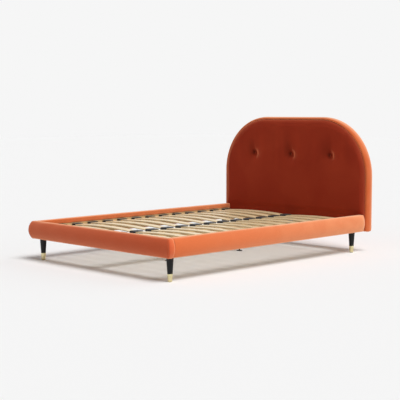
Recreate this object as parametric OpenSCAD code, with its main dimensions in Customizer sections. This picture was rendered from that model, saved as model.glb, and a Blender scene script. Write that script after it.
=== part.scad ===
// Low upholstered double bed frame: padded rails, a tufted arched headboard, sprung slats and turned legs.
// Millimetres. X runs across the bed, Y from the foot to the head, Z up. The origin is on the floor,
// at the middle of the whole frame.

/* [Bed] */
// Width over the padded rails and the headboard
bed_w = 1500; // [1250:10:1900]
// Foot face to the front of the headboard
rail_l = 2080; // [1900:10:2300]
// Floor to the underside of the rails
rail_z = 160; // [120:5:240]

/* [Rails] */
// Height of the padded rails
rail_h = 128; // [110:1:180]
// Thickness of a side rail over its padding
side_t = 62; // [58:1:80]
// Thickness of the foot rail over its padding
foot_t = 58; // [56:1:80]
// How far the padded faces bulge
bulge = 20; // [8:1:24]
// Radius of the padded edges
edge_r = 8; // [4:1:12]
// Thickness of the timber boards inside the rails
board_t = 25; // [18:1:28]
// Padding over the top and bottom of the boards
wrap = 4; // [2:0.5:6]
// Thickness of the velvet that turns over onto the inner face
turn_t = 2; // [1:0.5:3]
// How far the foot rail's velvet turns under its board
turn_under = 12.5; // [8:0.5:14]
// Gap between that velvet and the slat holders under it
turn_gap = 2; // [1:1:10]
// Height of the bare head rail
head_rail_h = 76; // [70:1:90]

/* [Headboard] */
// Floor to the top of the headboard
head_top = 1035; // [900:5:1300]
// Thickness of the headboard
head_t = 80; // [75:1:110]
// Radius of the rounded top corners
head_r = 455; // [300:5:500]
// Thickness of the padded border
border_t = 12; // [6:1:12]
// Foam and velvet in front of the panel
pad_t = 30; // [26:1:40]
// How far the border's front lip lies behind the crown of the pad
lip = 4; // [2:1:8]
// How far the pad's edge rolls back
roll_d = 12; // [6:1:12]
// Width of that roll
roll_w = 60; // [25:1:60]
// Thickness of the plywood front panel
ply_t = 9; // [6:1:12]
// Thickness of the hardboard back
back_t = 4; // [3:1:6]
// Thickness of the fabric back
cloth_t = 2; // [1:0.5:3]
// Width of the headboard's timbers
timber_w = 70; // [50:5:90]
// Height of the headboard's bottom timber
base_h = 95; // [90:5:120]
// Width of the upright studs
stud_w = 45; // [35:5:60]
// Distance of the studs from the middle
stud_x = 200; // [100:10:280]

/* [Buttons] */
// Distance between the buttons
button_gap = 400; // [300:10:480]
// Floor to the row of buttons
button_z = 735; // [600:5:800]
// Diameter of a covered button
button_d = 28; // [20:1:36]
// Height of a button's dome
button_h = 9; // [6:1:12]
// Height of the rim under the dome
button_rim = 2; // [1:0.5:3]
// Flat velvet round a button, at the bottom of its dimple
button_flat = 2; // [1:0.5:4]
// Depth of the dimple round a button
dimple_d = 16; // [8:1:18]
// Radius of the dimple
dimple_r = 60; // [40:1:80]
// Depth of the upright crease through a button
crease_d = 4; // [0:1:6]
// Half width of that crease
crease_w = 60; // [40:1:80]
// Half length of that crease
crease_l = 150; // [80:5:180]
// Diameter of the tufting twine
twine_d = 3; // [2:0.5:5]
// Diameter of the toggle that the twine is tied to
toggle_d = 18; // [12:1:24]
// Thickness of that toggle
toggle_t = 4; // [2:1:6]

/* [Slats] */
// Rows of slats
slat_rows = 14; // [10:1:14]
// Width of a slat
slat_w = 68; // [50:1:75]
// Thickness of a slat
slat_t = 8; // [6:1:10]
// Rise of a slat at its middle
camber = 14; // [8:1:18]
// Middle of the first slat from the foot rail's inner face
first_slat = 40; // [38:1:60]
// Middle of the last slat from the head rail
last_slat = 42; // [38:1:60]
// How far a slat reaches into its side holder
side_grip = 30; // [20:1:34]
// How far a slat reaches into its middle holder
middle_grip = 24; // [18:1:28]
// Wall of a slat holder
holder_wall = 5; // [3:0.5:6]
// Plastic under a slat's end
holder_floor = 6; // [4:0.5:7]
// Plastic past a slat's outer end, and half of that between two slats
holder_web = 6; // [4:0.5:8]
// Height of a slat holder
holder_h = 22; // [20:1:24]
// Play of a slat in its holder
slat_play = 0.3; // [0.2:0.1:0.6]
// Diameter of the peg under a holder
peg_d = 8; // [6:1:9]
// Length of that peg
peg_l = 12; // [8:1:16]

/* [Ledges and centre rail] */
// Rail underside to the seat of the slat holders
seat_h = 66; // [60:1:72]
// Width and height of a slat ledge
ledge_s = 28; // [24:1:32]
// Width of the centre rail
centre_w = 45; // [40:1:60]
// Height of the centre rail
centre_h = 60; // [50:1:64]
// Steel thickness of the centre rail's hangers
hanger_t = 3; // [2:0.5:4]
// Length of a hanger's cheeks
hanger_l = 40; // [30:1:60]
// Width of a hanger's wings
hanger_wing = 22; // [18:1:30]
// How far a hanger's top lies below the slat holders
hanger_drop = 10; // [4:1:20]
// Screws in a hanger from its upper and lower edges
hanger_hole = 11; // [9:1:16]

/* [Corner blocks] */
// Side of a square corner block
block_s = 85; // [80:1:110]
// Height of the crossways bolts above the block's underside
bolt_low = 20; // [15:1:24]
// Height of the lengthways bolts above the block's underside
bolt_high = 46; // [38:1:52]
// Crossways bolts from the block's free face
bolt_inset = 18; // [14:1:24]
// Lengthways bolts from the block's free face
bolt_side = 36; // [30:1:42]

/* [Legs] */
// Leg centre from the side face
leg_x = 72; // [70:1:90]
// Leg centre from the foot face
leg_foot = 81; // [80:1:100]
// Leg centre from the rails' head end
leg_head = 81; // [70:1:90]
// Diameter at the top of a leg
leg_top = 49.2; // [40:0.2:56]
// Diameter at the foot of a leg
leg_end = 27.6; // [24:0.2:34]
// Height of the brass ferrule
ferrule_h = 52; // [30:1:70]
// How far the ferrule stands proud of the leg
ferrule_proud = 0.6; // [0.3:0.1:1.2]
// Wall of the ferrule
ferrule_wall = 1.4; // [1:0.1:2]
// Glue between the leg and the ferrule
ferrule_glue = 0.1; // [0.05:0.05:0.2]
// Thickness of the glide under a ferrule
glide_t = 2; // [1:0.5:4]
// Diameter of that glide
glide_d = 20; // [14:1:24]

/* [Centre legs] */
// Diameter of a centre leg
post_d = 42; // [36:1:50]
// Distance between the two centre legs
post_gap = 760; // [500:10:1100]
// Lower end of a centre leg above the floor
post_z = 22; // [20:1:40]
// Diameter of a levelling foot's pad
pad_d = 45; // [35:1:55]
// Thickness of that pad
pad_h = 7; // [5:1:9]
// Diameter of a levelling foot's thread
thread_d = 10; // [8:1:12]
// Length of that thread above the pad
thread_l = 53; // [45:1:60]
// Room above the thread when it is screwed right in
thread_room = 3; // [1:1:6]
// Radial play of the thread in its insert
thread_play = 0.05; // [0.02:0.01:0.1]
// How far a levelling foot screws in
screw_in = 12; // [5:1:12]

/* [Fasteners] */
// Diameter of the bolts
bolt_d = 8; // [6:1:10]
// Radial play round a bolt
bolt_play = 0.25; // [0.1:0.05:0.5]
// Diameter of a bolt's head
bolt_head_d = 14; // [12:1:18]
// Height of a bolt's head
bolt_head_h = 5; // [4:1:7]
// How far a bolt goes into the last timber
bolt_bite = 16; // [12:1:18]
// Length of a leg bolt in the leg
leg_bolt_down = 45; // [30:1:60]
// Length of a leg bolt above the leg
leg_bolt_up = 40; // [30:1:45]
// Diameter of a timber screw
screw_d = 5; // [4:0.5:6]
// Head diameter of a timber screw
screw_head = 9; // [8:0.5:10]
// Height of a timber screw's head
screw_head_h = 3; // [2:0.5:4]
// How far a timber screw goes into its board
screw_bite = 17; // [12:1:18]
// Ledge screws below the ends of the holders' pegs
screw_drop = 6; // [5:0.5:7]
// Number of screws in a ledge
screw_count = 7; // [4:1:9]
// Headboard bolts: distance of the outer pair from the corner blocks
head_bolt_gap = 45; // [20:1:120]
// Headboard bolts: distance of the inner pair from the middle
head_bolt_in = 200; // [100:10:300]
// Headboard bolts: height above the rail underside
head_bolt_z = 50; // [40:1:55]
// Timber left behind the holes of the headboard bolts
head_bolt_rest = 4; // [2:1:8]
// Room past the tip of a bolt or screw
tip_gap = 1; // [0.5:0.5:2]

/* [Hidden] */
$fn = 72;

// Facets of the headboard's round corners
corner_fn = 180;
// How far a cut runs past the faces that it opens
past_face = 1;

velvet = "#c8643a";
pine = "#d8b98a";
birch = "#e2c79a";
ebony = "#232325";
brass = "#c8b26a";
steel = "#b4b7ba";
nylon = "#2b2b2d";
board = "#8c6a48";

// Faces along the bed, from the foot to the back of the headboard
foot_y = -(rail_l + head_t) / 2;
head_y = foot_y + rail_l;
back_y = head_y + head_t;

// Inner faces of the rails: behind the turned-over velvet, and the bare boards
side_in = bed_w / 2 - side_t;
board_x = side_in + turn_t;
foot_in = foot_y + foot_t;
board_y = foot_in - turn_t;
rail_top = rail_z + rail_h;
head_rail_y = head_y - board_t;

// Boards inside the padding
board_z = rail_z + wrap;
board_h = rail_h - 2 * wrap;

// Seat of the slat holders and the slats in them
seat_z = rail_z + seat_h;
slat_z = seat_z + holder_floor;
slat_out = board_x - holder_web;
turn_z = seat_z + holder_h + turn_gap;
side_holder_l = side_grip + board_x - slat_out;
slat_first_y = foot_in + first_slat;
slat_pitch = (head_rail_y - last_slat - slat_first_y) / (slat_rows - 1);
holder_w = slat_w + 2 * holder_wall;
side_peg_x = board_x - side_holder_l / 2;

// Corner blocks and leg places
block_x = board_x - block_s;
leg_px = bed_w / 2 - leg_x;
leg_foot_y = foot_y + leg_foot;
leg_head_y = head_y - leg_head;
bolt_r = bolt_d / 2 + bolt_play;
leg_slope = (leg_top - leg_end) / 2 / rail_z;
socket_z = glide_t + ferrule_wall;

// Centre rail, its legs and their levelling feet
centre_z = seat_z - centre_h;
post_y = post_gap / 2;
thread_top = pad_h + thread_l + screw_in + thread_room;

// Headboard layers, from the pad to the back
panel_y = head_y + pad_t;
frame_y = panel_y + ply_t;
cover_y = back_y - cloth_t;
hardboard_y = cover_y - back_t;
frame_t = hardboard_y - frame_y;
arc_x = bed_w / 2 - head_r;
arc_z = head_top - head_r;
frame_x = bed_w / 2 - border_t;
frame_z = rail_z + border_t;
frame_top = head_top - border_t;
frame_r = head_r - border_t;
base_top = frame_z + base_h;
button_seat = head_y + dimple_d + crease_d;
dome_h = button_h - button_rim;
dome_r = (button_d * button_d / 4 + dome_h * dome_h) / (2 * dome_h);
head_bolt_out = block_x - head_bolt_gap;
bolt_xs = [-head_bolt_out, -head_bolt_in, head_bolt_in, head_bolt_out];

sides = [-1, 1];

function row_name(i) = str("slats_", i < 10 ? "0" : "", i);
function row_y(i) = slat_first_y + (i - 1) * slat_pitch;
function leg_r(z) = leg_end / 2 + leg_slope * z;
function ferrule_r(z) = leg_r(z) + ferrule_proud;
function socket_r(z) = ferrule_r(z) - ferrule_wall;

// Points of an arc round c, from angle a to angle b
function arc(c, r, a, b, n) =
    [for (i = [0:n]) c + r * [cos(a + (b - a) * i / n), sin(a + (b - a) * i / n)]];

// Right half of a padded rail's outline: x is outwards from the inner face and y is up
edge_steps = 5;
face_steps = 16;
function padded(t, h, sag, r) =
    let (
        big = (h * h / 4 + sag * sag) / (2 * sag),
        c = [t - big, h / 2],
        rise = h / 2 - r,
        run = sqrt(pow(big - r, 2) - rise * rise),
        a = atan2(rise, run)
    )
    concat(
        arc(c + [run, -rise], r, -90, -a, edge_steps),
        arc(c, big, -a, a, face_steps),
        arc(c + [run, rise], r, a, 90, edge_steps)
    );

// Lay a flat outline drawn in X and Z along Y, and one drawn in Y and Z along X
module along_y(from, to) translate([0, to, 0]) rotate([90, 0, 0]) linear_extrude(to - from) children();
module along_x(from, to) translate([from, 0, 0]) rotate([90, 0, 90]) linear_extrude(to - from) children();

// Rods along the axes
module rod_x(x, y, z, l, r) translate([x, y, z]) rotate([0, 90, 0]) cylinder(h = l, r = r);
module rod_y(x, y, z, l, r) translate([x, y, z]) rotate([-90, 0, 0]) cylinder(h = l, r = r);
module rod_z(x, y, z, l, r) translate([x, y, z]) cylinder(h = l, r = r);

// Block from its low corner to its high corner
module span(low, high) translate(low) cube(high - low);

// Run the child at each corner, with $side, $end, the leg's place and the two inner faces
module at_corners() {
    for ($side = sides) for ($end = sides) {
        $leg = leg_place($side, $end);
        $face = [$side * board_x, $end < 0 ? board_y : head_rail_y];
        children();
    }
}

// Bolt through a corner block into the board across it, for both directions
module corner_rods(from, l, r) {
    at_corners() {
        rod_x($side < 0 ? $face.x + block_s - from - l : $face.x - block_s + from,
            $face.y - $end * (block_s - bolt_inset), rail_z + bolt_low, l, r);
        rod_y($face.x - $side * (block_s - bolt_side),
            $end < 0 ? $face.y + block_s - from - l : $face.y - block_s + from,
            rail_z + bolt_high, l, r);
    }
}

// Holes for the pegs under the slat holders
module peg_holes() {
    for (i = [1:slat_rows]) for (x = [-side_peg_x, 0, side_peg_x])
        rod_z(x, row_y(i), seat_z - peg_l - tip_gap, peg_l + tip_gap + past_face, peg_d / 2 + bolt_play);
}

// Screws through the ledges into the side boards, evenly spaced between the corner blocks
function screw_y(k) = let (a = board_y + block_s, b = head_rail_y - block_s)
    a + (b - a) * (k + 0.5) / screw_count;
screw_z = seat_z - peg_l - screw_drop;

module ledge_rods(from, to, r) {
    for (m = [0, 1]) mirror([m, 0, 0]) for (k = [0:screw_count - 1])
        rod_x(board_x - ledge_s + from, screw_y(k), screw_z, to - from, r);
}

// Screws through the hangers into the foot board and the head rail
module hanger_rods(from, to, r) {
    for (end = sides) for (s = sides) for (z = [centre_z + hanger_hole, seat_z - hanger_drop - hanger_hole])
        rod_y(s * (centre_w + hanger_t + hanger_wing) / 2,
            end < 0 ? board_y + hanger_t - to : head_rail_y - hanger_t + from, z, to - from, r);
}

module head_bolt_rods(from, to, r) {
    for (x = bolt_xs) rod_y(x, from, rail_z + head_bolt_z, to - from, r);
}

// Timber of the rails
module foot_rail() color(pine) difference() {
    span([-board_x - board_t, board_y - board_t, board_z], [board_x + board_t, board_y, board_z + board_h]);
    corner_rods(0, block_s + bolt_bite, bolt_r);
    hanger_rods(0, hanger_t + screw_bite, screw_d / 2);
}

module side_rail(side) color(pine) difference() {
    translate([side < 0 ? -board_x - board_t : board_x, foot_in + turn_t, board_z])
        cube([board_t, head_y - foot_in - 2 * turn_t, board_h]);
    corner_rods(0, block_s + bolt_bite, bolt_r);
    ledge_rods(0, ledge_s + screw_bite, screw_d / 2);
}

module head_rail() color(pine) difference() {
    span([-board_x, head_rail_y, board_z], [board_x, head_y, board_z + head_rail_h]);
    corner_rods(0, block_s + bolt_bite, bolt_r);
    head_bolt_rods(head_rail_y - past_face, head_y + past_face, bolt_r);
    hanger_rods(0, hanger_t + screw_bite, screw_d / 2);
}

// Padding and velvet of the rails
module foot_rail_cover() color(velvet) difference() {
    intersection() {
        along_x(-bed_w / 2, bed_w / 2) translate([foot_in, rail_z]) mirror([1, 0])
            polygon(concat([[0, rail_h], [0, 0]], padded(foot_t, rail_h, bulge, edge_r)));
        along_y(foot_y, foot_in) translate([0, rail_z]) polygon(concat(
            padded(bed_w / 2, rail_h, bulge, edge_r),
            [for (p = padded(bed_w / 2, rail_h, bulge, edge_r)) [-p.x, rail_h - p.y]]
        ));
    }
    span([-board_x - board_t, board_y - board_t, board_z], [board_x + board_t, board_y, board_z + board_h]);
    span([-board_x, board_y - past_face, rail_z - past_face], [board_x, foot_in + past_face, turn_z]);
    span([-board_x, board_y - turn_under, rail_z - past_face], [board_x, board_y, board_z + past_face]);
}

module side_rail_cover(side) color(velvet) mirror([side < 0 ? 1 : 0, 0, 0]) difference() {
    along_y(foot_in, head_y) translate([side_in, rail_z])
        polygon(concat([[0, rail_h], [0, 0]], padded(side_t, rail_h, bulge, edge_r)));
    span([board_x, foot_in + turn_t, board_z], [board_x + board_t, head_y - turn_t, board_z + board_h]);
    span([side_in - past_face, foot_in - past_face, rail_z - past_face],
        [board_x, head_y + past_face, turn_z]);
}

// Corner blocks that the legs and the rails are bolted to
module corner_blocks() color(pine) difference() {
    at_corners() {
        x = $side < 0 ? $face.x : $face.x - block_s;
        y = $end < 0 ? $face.y : $face.y - block_s;
        translate([x, y, rail_z]) cube([block_s, block_s, seat_h]);
    }
    corner_rods(-past_face, block_s + 2 * past_face, bolt_r);
    at_corners() rod_z($leg.x, $leg.y, rail_z - past_face, leg_bolt_up + past_face + tip_gap, bolt_r);
    peg_holes();
}

module slat_ledge(side) color(pine) difference() {
    translate([side < 0 ? -board_x : board_x - ledge_s, board_y + block_s, seat_z - ledge_s])
        cube([ledge_s, head_rail_y - board_y - 2 * block_s, ledge_s]);
    ledge_rods(-past_face, ledge_s + past_face, screw_d / 2);
    peg_holes();
}

// Centre rail, the hangers at its ends and its legs
module centre_rail() color(pine) difference() {
    span([-centre_w / 2, board_y + hanger_t, centre_z], [centre_w / 2, head_rail_y - hanger_t, seat_z]);
    peg_holes();
    for (y = [-post_y, post_y]) rod_z(0, y, centre_z - past_face, leg_bolt_up + past_face + tip_gap, bolt_r);
}

module centre_rail_hangers() color(steel) for (end = sides) {
    face = end < 0 ? board_y : head_rail_y;
    inner = face - end * hanger_t;
    far = inner - end * hanger_l;
    difference() {
        span([-centre_w / 2 - hanger_t - hanger_wing, min(face, inner), centre_z - hanger_t],
            [centre_w / 2 + hanger_t + hanger_wing, max(face, inner), seat_z - hanger_drop]);
        hanger_rods(-past_face, hanger_t + past_face, screw_d / 2);
    }
    for (s = sides)
        span([s < 0 ? -centre_w / 2 - hanger_t : centre_w / 2, min(inner, far), centre_z - hanger_t],
            [s < 0 ? -centre_w / 2 : centre_w / 2 + hanger_t, max(inner, far), seat_z - hanger_drop]);
    span([-centre_w / 2, min(inner, far), centre_z - hanger_t], [centre_w / 2, max(inner, far), centre_z]);
}

// Hole for a bolt that comes down into a leg whose top is at z
module leg_bolt_hole(z)
    rod_z(0, 0, z - leg_bolt_down - tip_gap, leg_bolt_down + tip_gap + past_face, bolt_r);

module centre_leg(end) color(ebony) translate([0, end * post_y, 0]) difference() {
    translate([0, 0, post_z]) cylinder(h = centre_z - post_z, d = post_d);
    rod_z(0, 0, post_z - past_face, thread_top - post_z + past_face, thread_d / 2 + thread_play);
    leg_bolt_hole(centre_z);
}

module levelling_foot(end) color(nylon) translate([0, end * post_y, 0]) {
    cylinder(h = pad_h, d = pad_d);
    translate([0, 0, pad_h]) cylinder(h = thread_l, d = thread_d);
}

// Turned legs, brass ferrules, glides and the bolts that hold them
function leg_place(side, end) = [side * leg_px, end < 0 ? leg_foot_y : leg_head_y, 0];

module leg(side, end) color(ebony) translate(leg_place(side, end)) difference() {
    union() {
        translate([0, 0, ferrule_h])
            cylinder(h = rail_z - ferrule_h, r1 = leg_r(ferrule_h), r2 = leg_r(rail_z));
        translate([0, 0, socket_z]) cylinder(h = ferrule_h - socket_z,
            r1 = socket_r(socket_z) - ferrule_glue, r2 = socket_r(ferrule_h) - ferrule_glue);
    }
    leg_bolt_hole(rail_z);
}

module ferrule(side, end) color(brass) translate(leg_place(side, end)) difference() {
    translate([0, 0, glide_t])
        cylinder(h = ferrule_h - glide_t, r1 = ferrule_r(glide_t), r2 = ferrule_r(ferrule_h));
    translate([0, 0, socket_z]) cylinder(h = ferrule_h + past_face - socket_z,
        r1 = socket_r(socket_z), r2 = socket_r(ferrule_h + past_face));
}

module glides() color(nylon) at_corners() rod_z($leg.x, $leg.y, 0, glide_t, glide_d / 2);

module leg_bolts() color(steel) {
    at_corners() rod_z($leg.x, $leg.y, rail_z - leg_bolt_down, leg_bolt_down + leg_bolt_up, bolt_d / 2);
    for (y = [-post_y, post_y])
        rod_z(0, y, centre_z - leg_bolt_down, leg_bolt_down + leg_bolt_up, bolt_d / 2);
}

// Bolts between the timbers
module corner_bolts() color(steel) {
    corner_rods(0, block_s + bolt_bite - tip_gap, bolt_d / 2);
    corner_rods(-bolt_head_h, bolt_head_h, bolt_head_d / 2);
}

module timber_screws() color(steel) {
    ledge_rods(0, ledge_s + screw_bite - tip_gap, screw_d / 2);
    ledge_rods(-screw_head_h, 0, screw_head / 2);
    hanger_rods(0, hanger_t + screw_bite - tip_gap, screw_d / 2);
    hanger_rods(-screw_head_h, 0, screw_head / 2);
}

module headboard_bolts() color(steel) {
    head_bolt_rods(head_rail_y, hardboard_y - head_bolt_rest - tip_gap, bolt_d / 2);
    head_bolt_rods(head_rail_y - bolt_head_h, head_rail_y, bolt_head_d / 2);
}

// Outline of one slat, in X and Z, let out by play on each face
slat_mid = (holder_web + slat_out) / 2;
slat_half = (slat_out - holder_web) / 2;
slat_r = (slat_half * slat_half + camber * camber) / (2 * camber);
slat_a = asin(slat_half / slat_r);
slat_steps = 12;

module slat_outline(play) translate([slat_mid, slat_z - slat_r + camber])
    polygon(concat(
        arc([0, 0], slat_r + slat_t + play, 90 - slat_a, 90 + slat_a, slat_steps),
        arc([0, 0], slat_r - play, 90 + slat_a, 90 - slat_a, slat_steps)
    ));

module slat_row(i) color(birch) for (s = sides)
    mirror([s < 0 ? 1 : 0, 0, 0]) along_y(row_y(i) - slat_w / 2, row_y(i) + slat_w / 2) slat_outline(0);

// Moulded holders that the slats' ends slide into
module slat_pocket(i) along_y(row_y(i) - slat_w / 2 - slat_play, row_y(i) + slat_w / 2 + slat_play)
    slat_outline(slat_play);

module slat_holders_side() color(nylon) for (i = [1:slat_rows]) for (s = sides)
    mirror([s < 0 ? 1 : 0, 0, 0]) {
        difference() {
            span([board_x - side_holder_l, row_y(i) - holder_w / 2, seat_z],
                [board_x, row_y(i) + holder_w / 2, seat_z + holder_h]);
            slat_pocket(i);
        }
        rod_z(side_peg_x, row_y(i), seat_z - peg_l, peg_l, peg_d / 2);
    }

module slat_holders_centre() color(nylon) for (i = [1:slat_rows]) {
    difference() {
        span([-holder_web - middle_grip, row_y(i) - holder_w / 2, seat_z],
            [holder_web + middle_grip, row_y(i) + holder_w / 2, seat_z + holder_h]);
        for (m = [0, 1]) mirror([m, 0, 0]) slat_pocket(i);
    }
    rod_z(0, row_y(i), seat_z - peg_l, peg_l, peg_d / 2);
}

// Arched outline of the headboard, drawn in by inset
module head_outline(inset) {
    r = head_r - inset;
    x = bed_w / 2 - inset;
    translate([-x, rail_z + inset]) square([2 * x, arc_z - rail_z - inset]);
    translate([-arc_x, arc_z]) square([2 * arc_x, r]);
    for (s = sides) translate([s * arc_x, arc_z]) intersection() {
        circle(r = r, $fn = corner_fn);
        translate([s < 0 ? -r : 0, 0]) square([r, r]);
    }
}

module head_sheet(from, to, inset) along_y(from, to) head_outline(inset);

module headboard_base_rail() color(pine) difference() {
    span([-frame_x, frame_y, frame_z], [frame_x, hardboard_y, base_top]);
    head_bolt_rods(frame_y - past_face, hardboard_y - head_bolt_rest, bolt_r);
}

module headboard_post(side) color(pine)
    translate([side < 0 ? -frame_x : frame_x - timber_w, frame_y, base_top])
        cube([timber_w, frame_t, arc_z - base_top]);

module headboard_corner(side) color(pine) along_y(frame_y, hardboard_y) translate([side * arc_x, arc_z])
    intersection() {
        difference() {
            circle(r = frame_r, $fn = corner_fn);
            circle(r = frame_r - timber_w, $fn = corner_fn);
        }
        translate([side < 0 ? -frame_r : 0, 0]) square(frame_r);
    }

module headboard_top_rail() color(pine)
    span([-arc_x, frame_y, frame_top - timber_w], [arc_x, hardboard_y, frame_top]);

module headboard_studs() color(pine) for (s = sides)
    translate([s * stud_x - stud_w / 2, frame_y, base_top])
        cube([stud_w, frame_t, frame_top - timber_w - base_top]);

module button_rods(from, to, r) for (k = [-1:1]) rod_y(k * button_gap, from, button_z, to - from, r);

module headboard_front_panel() color(birch) difference() {
    head_sheet(panel_y, frame_y, border_t);
    button_rods(panel_y - past_face, frame_y + past_face, twine_d / 2 + bolt_play);
    head_bolt_rods(panel_y - past_face, frame_y + past_face, bolt_r);
}

module headboard_border() color(velvet) difference() {
    head_sheet(head_y + lip, cover_y, 0);
    head_sheet(head_y + lip - past_face, cover_y + past_face, border_t);
}

module headboard_back_panel() color(board) head_sheet(hardboard_y, cover_y, border_t);

module headboard_back_cover() color(velvet) head_sheet(cover_y, back_y, 0);

// Front pad: a crowned sheet whose edge rolls back and whose buttons pull dimples.
// Columns run across from the middle and rows run up, both closer together at edges and buttons.
flat_r = button_d / 2 + button_flat;
dent_mid = (dimple_r + flat_r) / 2;
dent = [-dimple_r, -dent_mid, -flat_r, 0, flat_r, dent_mid, dimple_r];
edge_shares = [1.1, 0.55, 0.2, 0];
edge = roll_w * edge_shares;
pad_z = button_z - frame_z;
pad_h_all = frame_top - frame_z;
between_buttons = 3;
past_buttons = 4;
below_buttons = 5;
above_buttons = 3;
function between(a, b, n) = [for (i = [1:n]) a + (b - a) * i / (n + 1)];
pad_half = concat(
    [for (i = [3:6]) dent[i]],
    between(dimple_r, button_gap - dimple_r, between_buttons),
    [for (d = dent) button_gap + d],
    between(button_gap + dimple_r, frame_x - edge[0], past_buttons),
    [for (d = edge) frame_x - d]
);
pad_cols = concat([for (i = [len(pad_half) - 1:-1:1]) -pad_half[i]], pad_half);
pad_rows = concat(
    [for (i = [3:-1:0]) edge[i]],
    between(edge[0], pad_z - dimple_r, below_buttons),
    [for (d = dent) pad_z + d],
    between(pad_z + dimple_r, pad_h_all - edge[0], above_buttons),
    [for (d = edge) pad_h_all - d]
);

function pad_top(x) = abs(x) <= arc_x ? frame_top
    : arc_z + sqrt(max(0, frame_r * frame_r - pow(abs(x) - arc_x, 2)));
function edge_gap(x, z) =
    let (low = z - frame_z, side = frame_x - abs(x), top = frame_top - z)
    abs(x) > arc_x && z > arc_z ? min(low, frame_r - norm([abs(x) - arc_x, z - arc_z]))
        : z > arc_z ? min(low, side, top) : min(low, side);
function roll(t) = t >= 1 ? 0 : 1 - sqrt(1 - pow(1 - max(0, t), 2));
function dip(t) = t >= 1 ? 0 : pow((1 + cos(180 * t)) / 2, 2);
function past(d) = max(0, abs(d) - flat_r);
function pull(x, z) = max([for (k = [-1:1]) let (u = x - k * button_gap, v = z - button_z)
    dimple_d * dip(norm([past(u), past(v)]) / (dimple_r - flat_r))
        + crease_d * dip(norm([past(u) / crease_w, past(v) / crease_l]))]);
function pad_y(x, z) = head_y + max(roll_d * roll(edge_gap(x, z) / roll_w), pull(x, z));

// Rows stay level past the buttons, and close up under the arch above them
knee = pad_z + dimple_r;
function row_height(x, row) =
    let (t = pad_top(x) - frame_z, k = min(knee, t - edge[0]))
    row <= knee ? row * k / knee : k + (row - knee) * (t - k) / (pad_h_all - knee);

module pad_body() {
    nx = len(pad_cols);
    nz = len(pad_rows);
    front = [for (x = pad_cols) for (row = pad_rows)
        let (z = frame_z + row_height(x, row)) [x, pad_y(x, z), z]];
    rim = concat(
        [for (i = [0:nx - 2]) i * nz],
        [for (j = [0:nz - 2]) (nx - 1) * nz + j],
        [for (i = [nx - 1:-1:1]) i * nz + nz - 1],
        [for (j = [nz - 1:-1:1]) j]
    );
    n = len(rim);
    rear = [for (k = rim) [front[k].x, panel_y, front[k].z]];
    base = nx * nz;
    polyhedron(
        points = concat(front, rear, [[0, panel_y, arc_z]]),
        faces = concat(
            [for (i = [0:nx - 2]) for (j = [0:nz - 2]) let (a = i * nz + j) [a, a + 1, a + nz + 1]],
            [for (i = [0:nx - 2]) for (j = [0:nz - 2]) let (a = i * nz + j) [a, a + nz + 1, a + nz]],
            [for (k = [0:n - 1]) [rim[k], rim[(k + 1) % n], base + (k + 1) % n]],
            [for (k = [0:n - 1]) [rim[k], base + (k + 1) % n, base + k]],
            [for (k = [0:n - 1]) [base + k, base + (k + 1) % n, base + n]]
        )
    );
}

module headboard_pad() color(velvet) difference() {
    pad_body();
    button_rods(head_y, panel_y + past_face, twine_d / 2 + bolt_play);
    head_bolt_rods(head_y - past_face, panel_y + past_face, bolt_r);
}

// Covered buttons: a dome on a short rim, seated at the bottom of each dimple
module headboard_buttons() color(velvet) for (k = [-1:1])
    translate([k * button_gap, button_seat, button_z]) rotate([90, 0, 0]) intersection() {
        cylinder(h = button_h, d = button_d);
        translate([0, 0, button_h - dome_r]) sphere(r = dome_r);
    }

module button_ties() color(nylon) {
    button_rods(button_seat, frame_y + toggle_t, twine_d / 2);
    button_rods(frame_y, frame_y + toggle_t, toggle_d / 2);
}

foot_rail();
side_rail(-1);  // side_rail_left
side_rail(1);  // side_rail_right
head_rail();
foot_rail_cover();
side_rail_cover(-1);  // side_rail_cover_left
side_rail_cover(1);  // side_rail_cover_right
corner_blocks();
slat_ledge(-1);  // slat_ledge_left
slat_ledge(1);  // slat_ledge_right
centre_rail();
centre_rail_hangers();
centre_leg(-1);  // centre_leg_foot_end
centre_leg(1);  // centre_leg_head_end
levelling_foot(-1);  // levelling_foot_foot_end
levelling_foot(1);  // levelling_foot_head_end
leg(-1, -1);  // leg_foot_left
leg(1, -1);  // leg_foot_right
leg(-1, 1);  // leg_head_left
leg(1, 1);  // leg_head_right
ferrule(-1, -1);  // ferrule_foot_left
ferrule(1, -1);  // ferrule_foot_right
ferrule(-1, 1);  // ferrule_head_left
ferrule(1, 1);  // ferrule_head_right
glides();
leg_bolts();
corner_bolts();
timber_screws();
headboard_bolts();
slat_holders_side();
slat_holders_centre();
for (i = [1:slat_rows]) slat_row(i);
headboard_base_rail();
headboard_post(-1);  // headboard_post_left
headboard_post(1);  // headboard_post_right
headboard_corner(-1);  // headboard_corner_left
headboard_corner(1);  // headboard_corner_right
headboard_top_rail();
headboard_studs();
headboard_front_panel();
headboard_pad();
headboard_border();
headboard_back_panel();
headboard_back_cover();
headboard_buttons();
button_ties();
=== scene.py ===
import math

import bmesh
import bpy
from mathutils import Matrix, Vector, noise


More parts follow.
